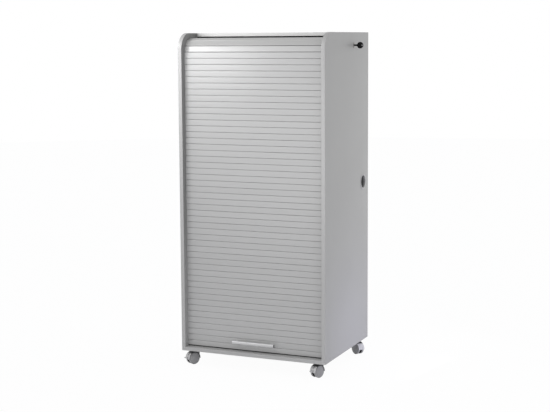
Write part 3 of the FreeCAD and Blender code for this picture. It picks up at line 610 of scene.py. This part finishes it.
lockPart = {
    "centre": (0.321, 0.0755, 1.33), "bore": 0.00608, "body": 0.009, "flange": 0.011, "inner": -0.026,
    "face": 0.0025, "round": 0.0012, "roundSteps": 7, "dish": 0.0005, "dishOuter": 0.0014, "dishInner": 0.0006,
    "segments": 64,
}


def lockPiece():
    # barrel, flange with a rounded rim, and a shallow dish round the plug
    p = lockPart
    face, bore, dished = p["face"], p["bore"], p["face"] - p["dish"]
    profile = np.concatenate([
        [[p["inner"], bore], [p["inner"], p["body"]], [0, p["body"]], [0, p["flange"]]],
        arcPoints((face - p["round"], p["flange"] - p["round"]), p["round"], 90, 0, p["roundSteps"]),
        [[face, bore + p["dishOuter"]], [dished, bore + p["dishInner"]], [dished, bore]]])
    return turnedRing(profile, p["centre"], (1, 0, 0), p["segments"])


lockFace = addPiece("lockHousing", *lockPiece(), "carcass", "lock_metal", finish["nickel"])
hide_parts("lock_housing")

bowPart = {
    "centre": (0.3485, 0.0755, 1.33), "radius": 0.0135, "thick": 0.005, "rim": 0.0021, "rimSteps": 6,
    "hole": 0.0025, "holeOut": 0.0085, "holeRound": 0.0006, "flat": (0.12, 0.5), "segments": 64,
}


def bowPiece():
    # loops between the ring hole and the outer edge; each loop is a mix of both circles at its own height
    b = bowPart
    circle = unitCircle(b["segments"])
    outer = circle * b["radius"]
    inner = circle * b["hole"] + [b["holeOut"], 0]
    bend = np.linspace(0, quarterTurn, b["rimSteps"])
    half = b["thick"] / 2
    share = np.concatenate([[0, *b["flat"]], 1 - b["rim"] / b["radius"] * (1 - np.sin(bend))])
    height = np.concatenate([[half - b["holeRound"], half, half], half - b["rim"] * (1 - np.cos(bend))])
    share = np.concatenate([share, share[::-1]])
    height = np.concatenate([height, -height[::-1]])
    flat = inner[None] + (outer - inner)[None] * share[:, None, None]
    points = np.stack([flat[..., 0], np.broadcast_to(height[:, None], flat.shape[:2]), flat[..., 1]], -1)
    return points + np.array(b["centre"]), gridFaces(len(share), len(circle), True, True)


keyBow = addPiece("keyBow", *bowPiece(), "lock_rotor", "black_plastic", finish["bow"])
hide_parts("key_bow")

ringPart = {
    "centre": (0.305, 0.1915, 0.753), "bore": 0.026, "sleeve": 0.0299, "flange": 0.033, "board": 0.016,
    "lip": 0.002, "round": 0.0014, "boreRound": 0.0016, "roundSteps": 7, "darkTo": 0.001, "segments": 96,
}


def ringProfile():
    # sleeve in the board, flange with a rounded rim, and a rounded edge into the bore
    p = ringPart
    lipEnd, rim, edge = p["board"] + p["lip"], p["round"], p["boreRound"]
    return np.concatenate([
        [[0, p["bore"]], [0, p["sleeve"]], [p["board"], p["sleeve"]], [p["board"], p["flange"]]],
        arcPoints((lipEnd - rim, p["flange"] - rim), rim, 90, 0, p["roundSteps"]),
        arcPoints((lipEnd - edge, p["bore"] + edge), edge, 0, -90, p["roundSteps"])])


# painted shade: the bore's inner end, deep inside the cabinet, takes the dark second colour
ringShade = np.tile(ringProfile()[:, 0] < ringPart["darkTo"], ringPart["segments"])  # dark at the inner end
ringShape = turnedRing(ringProfile(), ringPart["centre"], (1, 0, 0), ringPart["segments"])
cableRing = addPiece("cableRing", *ringShape, "carcass", "grommet_plastic", finish["grommet"],
                     attributes={"secondShot": ringShade})
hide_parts("cable_grommet")
print("lock, key bow and cable ring")


wheelPart = {
    "radius": 0.025, "width": 0.012, "start": 0.0046, "bore": 0.00306, "innerRound": 0.002, "innerSteps": 7,
    "shoulder": 0.0022, "shoulderSteps": 8, "groove": 0.0006, "dome": 0.0018, "domeSteps": 10,
    "hubDepth": 0.0017, "darkTo": 0.0009, "segments": 72,
}


def wheelProfile():
    # inner face, tyre, shoulder, a fine groove, then a domed disc: width - dome*(radius/edge)^2
    p = wheelPart
    r, w, inner, shoulder, groove = (p[key] for key in ("radius", "width", "innerRound", "shoulder", "groove"))
    rim, hub = w - p["dome"], w - p["hubDepth"]
    edge = r - shoulder - 3 * groove
    disc = np.linspace(edge, 0, p["domeSteps"])
    return np.concatenate([
        [[0, p["bore"]], [0, r - inner]],
        arcPoints((inner, r - inner), inner, 180, 90, p["innerSteps"]),
        arcPoints((rim - shoulder, r - shoulder), shoulder, 90, 0, p["shoulderSteps"]),
        [[rim, r - shoulder - groove], [rim - groove, r - shoulder - 2 * groove]],
        np.stack([w - p["dome"] * (disc / edge) ** 2, disc], -1),
        [[hub, 0.0], [hub, p["bore"]]]])


# the hood's painted shade: a cap over the drum top and a band inside its edge beside the wheel
hoodPart = {
    "outer": 0.0282, "inner": 0.0262, "half": 0.0155, "web": 0.004, "webFoot": 0.0035, "slot": 0.0023,
    "slotTurn": 54.0, "skirt": -4.06, "shoulder": 0.0016, "shoulderSteps": 7, "sweepStep": 4.0,
    "capRise": (0.0465, 0.0495), "liner": 0.0013, "sharp": 40,
}
bossPart = {
    "radius": 0.011, "top": 0.0607, "pinBore": 0.00406, "trail": 0.021, "sink": 0.0008, "least": 0.0045,
    "rim": 0.0012, "rimSteps": 5, "segments": 48,
}


def hoodSweep(section, fromDegrees, toDegrees, centre, axis, back, startCap=None, endCap=None):
    # a closed section (across, radius) swung round the axle; a cap lists the section corners of a flat end
    steps = int((toDegrees - fromDegrees) / hoodPart["sweepStep"]) + 1
    turn = np.radians(np.linspace(fromDegrees, toDegrees, steps))
    around = np.cos(turn)[:, None] * back + np.sin(turn)[:, None] * straightUp
    points = centre + section[None, :, :1] * axis + section[None, :, 1:] * around[:, None]
    corners = len(section)
    caps = [] if startCap is None else [startCap]
    caps += [] if endCap is None else [(steps - 1) * corners + endCap]
    return points, list(gridFaces(steps, corners, False, True)) + caps


def stepUp(value, low, high):
    # smooth step from 0 at low to 1 at high
    t = np.clip((value - low) / (high - low), 0, 1)
    return t * t * (3 - 2 * t)


def hoodSections():
    # half of the hood beside the lever's slot, its mirror image, and both as one closed section
    h = hoodPart
    bend = (h["half"] - h["shoulder"], h["outer"] - h["shoulder"])
    right = np.concatenate([
        [[h["slot"], h["webFoot"]], [h["web"], h["webFoot"]], [h["web"], h["inner"]], [h["half"], h["inner"]]],
        arcPoints(bend, h["shoulder"], 0, 90, h["shoulderSteps"]), [[h["slot"], h["outer"]]]])
    left = right * [-1, 1]
    return np.concatenate([right, left[::-1]]), left, right


def bossSkirt(swivel, centre, axis, back):
    # a round boss over the hood: its foot follows the drum, its head is a flat ring round the king pin
    b = bossPart
    circle = unitCircle(b["segments"]) * b["radius"]
    reach = hoodPart["outer"] - b["sink"]
    drum = np.sqrt(np.maximum(reach ** 2 - (circle[:, 1] - b["trail"]) ** 2, b["least"] ** 2))
    foot = centre[2] + drum
    bend = np.linspace(0, quarterTurn, b["rimSteps"])
    shrink = np.concatenate([[1], 1 - b["rim"] * (1 - np.cos(bend)) / b["radius"],
                             [b["pinBore"] / b["radius"]] * 2])
    flat = swivel * [1, 1, 0] + shrink[:, None, None] * (circle @ np.stack([axis, back]))
    flat[..., 2] = b["top"]
    flat[1:-2, :, 2] -= b["rim"] * (1 - np.sin(bend))[:, None]
    flat[[0, -1], :, 2] = foot
    return flat, gridFaces(len(shrink), len(circle), True, True)


def hoodPiece(corner, braked):
    # the hood swung round its axle, in two halves beside a lever, and the boss above it
    h = hoodPart
    roll, swivel = jointOf[f"roll_{corner}_right"], jointOf[f"swivel_{corner}"]
    axis = np.array(roll["axis"], float)
    back = np.cross(straightUp, axis)
    centre, post = np.array(roll["pos_m"], float), np.array(swivel["pos_m"], float)
    whole, left, right = hoodSections()
    stop = 180 - h["skirt"]
    wholeCap, halfCap = np.arange(len(whole)), np.arange(len(right))
    if braked:
        slotCap = np.array([0, len(right) - 1, len(right), len(whole) - 1])
        parts = [hoodSweep(whole, h["slotTurn"], stop, centre, axis, back, slotCap, wholeCap),
                 hoodSweep(left, h["skirt"], h["slotTurn"], centre, axis, back, halfCap),
                 hoodSweep(right, h["skirt"], h["slotTurn"], centre, axis, back, halfCap)]
    else:
        parts = [hoodSweep(whole, h["skirt"], stop, centre, axis, back, wholeCap, wholeCap)]
    boss = bossSkirt(post, centre, axis, back)
    points, faces = joinParts(*parts, boss)
    away = np.linalg.norm(np.cross(points - centre, axis), axis=1)
    # painted shade in the second colour: the bearing boss and the cap over the drum, under the cabinet, and all
    # inside, out to the edge beside the wheel
    hoodShade = np.maximum(stepUp(points[:, 2], *h["capRise"]), away < h["inner"] + h["liner"])
    hoodShade[len(points) - boss[0].size // 3:] = 1
    hood = addPiece(f"hood.{corner}", points, faces, f"caster_{corner}", "hood_plastic", finish["hood"],
                    h["sharp"], {"secondShot": hoodShade})
    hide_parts(f"caster_hood_{corner}")


# painted shade: the inner face, towards the gap between the wheels, takes the dark second colour
wheelShade = np.tile(wheelProfile()[:, 0] < wheelPart["darkTo"], wheelPart["segments"])
for corner in ("front_left", "front_right", "rear_right", "rear_left"):
    hoodPiece(corner, corner.startswith("front"))
    for side, sign in (("right", 1), ("left", -1)):
        joint = jointOf[f"roll_{corner}_{side}"]
        outward = sign * np.array(joint["axis"], float)
        start = np.array(joint["pos_m"], float) + outward * wheelPart["start"]
        wheelShape = turnedRing(wheelProfile(), start, outward, wheelPart["segments"])
        wheel = addPiece(f"wheel.{corner}.{side}", *wheelShape, f"wheel_{corner}_{side}", "wheel_plastic",
                         finish["wheel"], attributes={"secondShot": wheelShade})
        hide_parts(f"caster_wheel_{corner}_{side}")
print("casters: 4 hoods, 8 wheels")


band = {
    "proud": 0.0004, "sink": 0.0003, "round": 0.0007, "roundSteps": 5, "front": -0.2575, "rear": 0.2575,
    "low": 0.064, "top": 1.383, "corner": 0.07, "cornerSteps": 41, "inner": 0.305, "outer": 0.321, "sharp": 50,
}


def bandSection():
    # flat strip with softened long edges: (across, out)
    b = band
    rise = b["proud"] - b["round"]
    return np.concatenate([
        [[b["outer"], -b["sink"]]],
        arcPoints((b["outer"] - b["round"], rise), b["round"], 0, 90, b["roundSteps"]),
        arcPoints((b["inner"] + b["round"], rise), b["round"], 90, 180, b["roundSteps"]),
        [[b["inner"], -b["sink"]]]])


def bandPath():
    # bottom of the front edge, up, round the corner, back along the top: place and outward normal in (y, z)
    b = band
    centre = (b["front"] + b["corner"], b["top"] - b["corner"])
    arc = arcPoints(centre, b["corner"], 180, 90, b["cornerSteps"])
    path = np.concatenate([[[b["front"], b["low"]]], arc, [[b["rear"], b["top"]]]])
    normal = np.concatenate([[[-1, 0]], (arc - centre) / b["corner"], [[0, 1]]])
    return path, normal


def bandPiece(side):
    # each section point is path + out*normal, at its own distance across the board
    (path, normal), section = bandPath(), bandSection()
    points = np.empty((len(path), len(section), 3))
    points[..., 0] = side * section[:, 0]
    points[..., 1:] = path[:, None] + section[None, :, 1:] * normal[:, None]
    return points, tubeFaces(len(path), len(section))


for name, side in (("edgeBandLeft", -1), ("edgeBandRight", 1)):
    addPiece(name, *bandPiece(side), "carcass", "outer_board", finish["outerBoard"], band["sharp"])
print("edge bands")


# dust brush in the slot under the top panel
brush = {"half": 0.304, "front": -0.1131, "back": -0.1125, "low": 1.36345, "high": 1.3692, "stations": 24}


def brushPiece():
    # a long strip: its section repeated along X
    b = brush
    section = np.array([[b["front"], b["low"]], [b["back"], b["low"]],
                        [b["back"], b["high"]], [b["front"], b["high"]]])
    points = np.empty((b["stations"], len(section), 3))
    points[..., 0] = np.linspace(-b["half"], b["half"], b["stations"])[:, None]
    points[..., 1:] = section
    return points, tubeFaces(b["stations"], len(section))


addPiece("dustBrush", *brushPiece(), "carcass", "seal_rubber", finish["brush"])
print("dust brush")


def seenRays(tree):
    # 1 for what the camera, mirrors and glass see
    path = tree.nodes.new("ShaderNodeLightPath").outputs
    seen = mathNode(tree, "MAXIMUM", path["Is Camera Ray"], path["Is Glossy Ray"])
    return mathNode(tree, "MAXIMUM", seen, path["Is Transmission Ray"])


ground = {"tone": (0.935, 0.935, 0.985, 1), "rough": 0.9, "white": 0.96, "radii": (0.0, 2.0, 12.0),
          "drop": 0.0002, "segments": 96}


def floorMaterial():
    # pale floor; the camera, mirrors and glass mostly see plain white, with a faint shadow left in it
    material = bpy.data.materials.new("paleFloor")
    material.use_nodes = True
    tree = material.node_tree
    shader = tree.nodes["Principled BSDF"]
    shader.inputs["Roughness"].default_value = ground["rough"]
    shader.inputs["Base Color"].default_value = ground["tone"]
    mix = tree.nodes.new("ShaderNodeMixShader")
    tree.links.new(mathNode(tree, "MULTIPLY", seenRays(tree), ground["white"]), mix.inputs[0])
    tree.links.new(shader.outputs[0], mix.inputs[1])
    tree.links.new(tree.nodes.new("ShaderNodeEmission").outputs[0], mix.inputs[2])
    tree.links.new(mix.outputs[0], tree.nodes["Material Output"].inputs["Surface"])
    return material


def floorDisc():
    # rings round the middle: radius * (cos, sin), a hair under the wheels
    circle, radii = unitCircle(ground["segments"]), np.array(ground["radii"])
    points = np.full((len(radii), len(circle), 3), -ground["drop"])
    points[..., :2] = radii[:, None, None] * circle
    mesh = bpy.data.meshes.new("floor")
    faces = gridFaces(len(radii), len(circle), False, True)
    mesh.from_pydata(points.reshape(-1, 3).tolist(), [], faces.tolist())
    floor = bpy.data.objects.new("floor", mesh)
    bpy.context.scene.collection.objects.link(floor)
    mesh.materials.append(floorMaterial())


sky = {"light": 1.195, "overheadDrop": 0.65, "overheadFrom": (0.1, 0.95)}


def worldLight():
    # white where it is seen; as light, a little less from straight above
    world = bpy.data.worlds.new("studio")
    bpy.context.scene.world = world
    world.use_nodes = True
    tree = world.node_tree
    heading = splitNode(tree, tree.nodes.new("ShaderNodeTexCoord").outputs["Generated"])
    overhead = stepMask(tree, heading["Z"], sky["overheadFrom"])
    light = mathNode(tree, "SUBTRACT", sky["light"], mathNode(tree, "MULTIPLY", overhead, sky["overheadDrop"]))
    toWhite = mathNode(tree, "MULTIPLY", seenRays(tree), mathNode(tree, "SUBTRACT", 1.0, light))
    backdrop = tree.nodes["Background"]
    backdrop.inputs["Color"].default_value = (1, 1, 1, 1)
    tree.links.new(mathNode(tree, "ADD", light, toWhite), backdrop.inputs["Strength"])


lamps = {
    "key": {"power": 3.1, "place": (-0.47, -0.8, 1.37), "aim": (-0.2, -0.23, 1.22), "size": 0.38},
    "fill": {"power": 1.42, "place": (0.36, -0.9, 0.93), "aim": (0.3, -0.23, 0.93), "size": 0.5},
    "rear": {"power": 2.75, "place": (0.8, 0.75, 0.85), "aim": (0.32, 0.2, 0.85), "size": 0.3, "tall": 1.1,
             "sheen": False},
    "low": {"power": 0.8, "place": (0.67, 0.08, 0.065), "aim": (0.31, 0.15, 0.085), "size": 0.4,
            "sheen": False, "tint": (0.7, 0.68, 1.0)},
    "card": {"power": 51.0, "place": (-1.5, -1.6, 2.3), "aim": (-0.2, -0.21, 1.33), "size": 0.6, "wash": False},
}


# wash lights the surfaces, sheen shows in their gloss
def softLamp(name, power, place, aim, size, tall=None, wash=True, sheen=True, tint=(1, 1, 1)):
    lamp = bpy.data.lights.new(name, "AREA")
    lamp.energy = power
    lamp.color = tint
    lamp.shape = "RECTANGLE"
    lamp.size = size
    lamp.size_y = tall or size
    holder = bpy.data.objects.new(name, lamp)
    holder.location = place
    holder.visible_camera = False
    holder.visible_diffuse = wash
    holder.visible_glossy = sheen
    holder.rotation_mode = "QUATERNION"
    holder.rotation_quaternion = (Vector(aim) - Vector(place)).to_track_quat("-Z", "Y")
    bpy.context.scene.collection.objects.link(holder)


lens = {
    "place": (2.041684, -4.740131, 1.353508), "yaw": 23.34, "pitch": 6.44, "roll": -0.34,
    "focalPixels": 1232.0, "centreRow": 179.0, "frame": (550, 412), "sensor": 36.0,
}


def photoCamera():
    # the view axes turned by yaw and pitch, then rolled
    yaw, pitch, roll = (math.radians(lens[key]) for key in ("yaw", "pitch", "roll"))
    ahead = Vector((-math.sin(yaw) * math.cos(pitch), math.cos(yaw) * math.cos(pitch), -math.sin(pitch)))
    right = Vector((math.cos(yaw), math.sin(yaw), 0))
    up = right.cross(ahead)
    turnedRight = right * math.cos(roll) + up * math.sin(roll)
    turnedUp = up * math.cos(roll) - right * math.sin(roll)
    wide, tall = lens["frame"]
    data = bpy.data.cameras.new("photoCamera")
    data.sensor_fit = "HORIZONTAL"
    data.sensor_width = lens["sensor"]
    data.lens = lens["focalPixels"] / wide * lens["sensor"]
    data.shift_y = (lens["centreRow"] - tall / 2) / wide
    camera = bpy.data.objects.new("photoCamera", data)
    axes = Matrix((turnedRight, turnedUp, -ahead)).transposed().to_4x4()
    camera.matrix_world = Matrix.Translation(Vector(lens["place"])) @ axes
    bpy.context.scene.collection.objects.link(camera)
    bpy.context.scene.camera = camera


floorDisc()
worldLight()
for lampName, values in lamps.items():
    softLamp(lampName + "Lamp", **values)
photoCamera()
bpy.context.scene.view_settings.view_transform = "Standard"
print("stage: floor, lamps, camera")

bpy.context.view_layer.update()
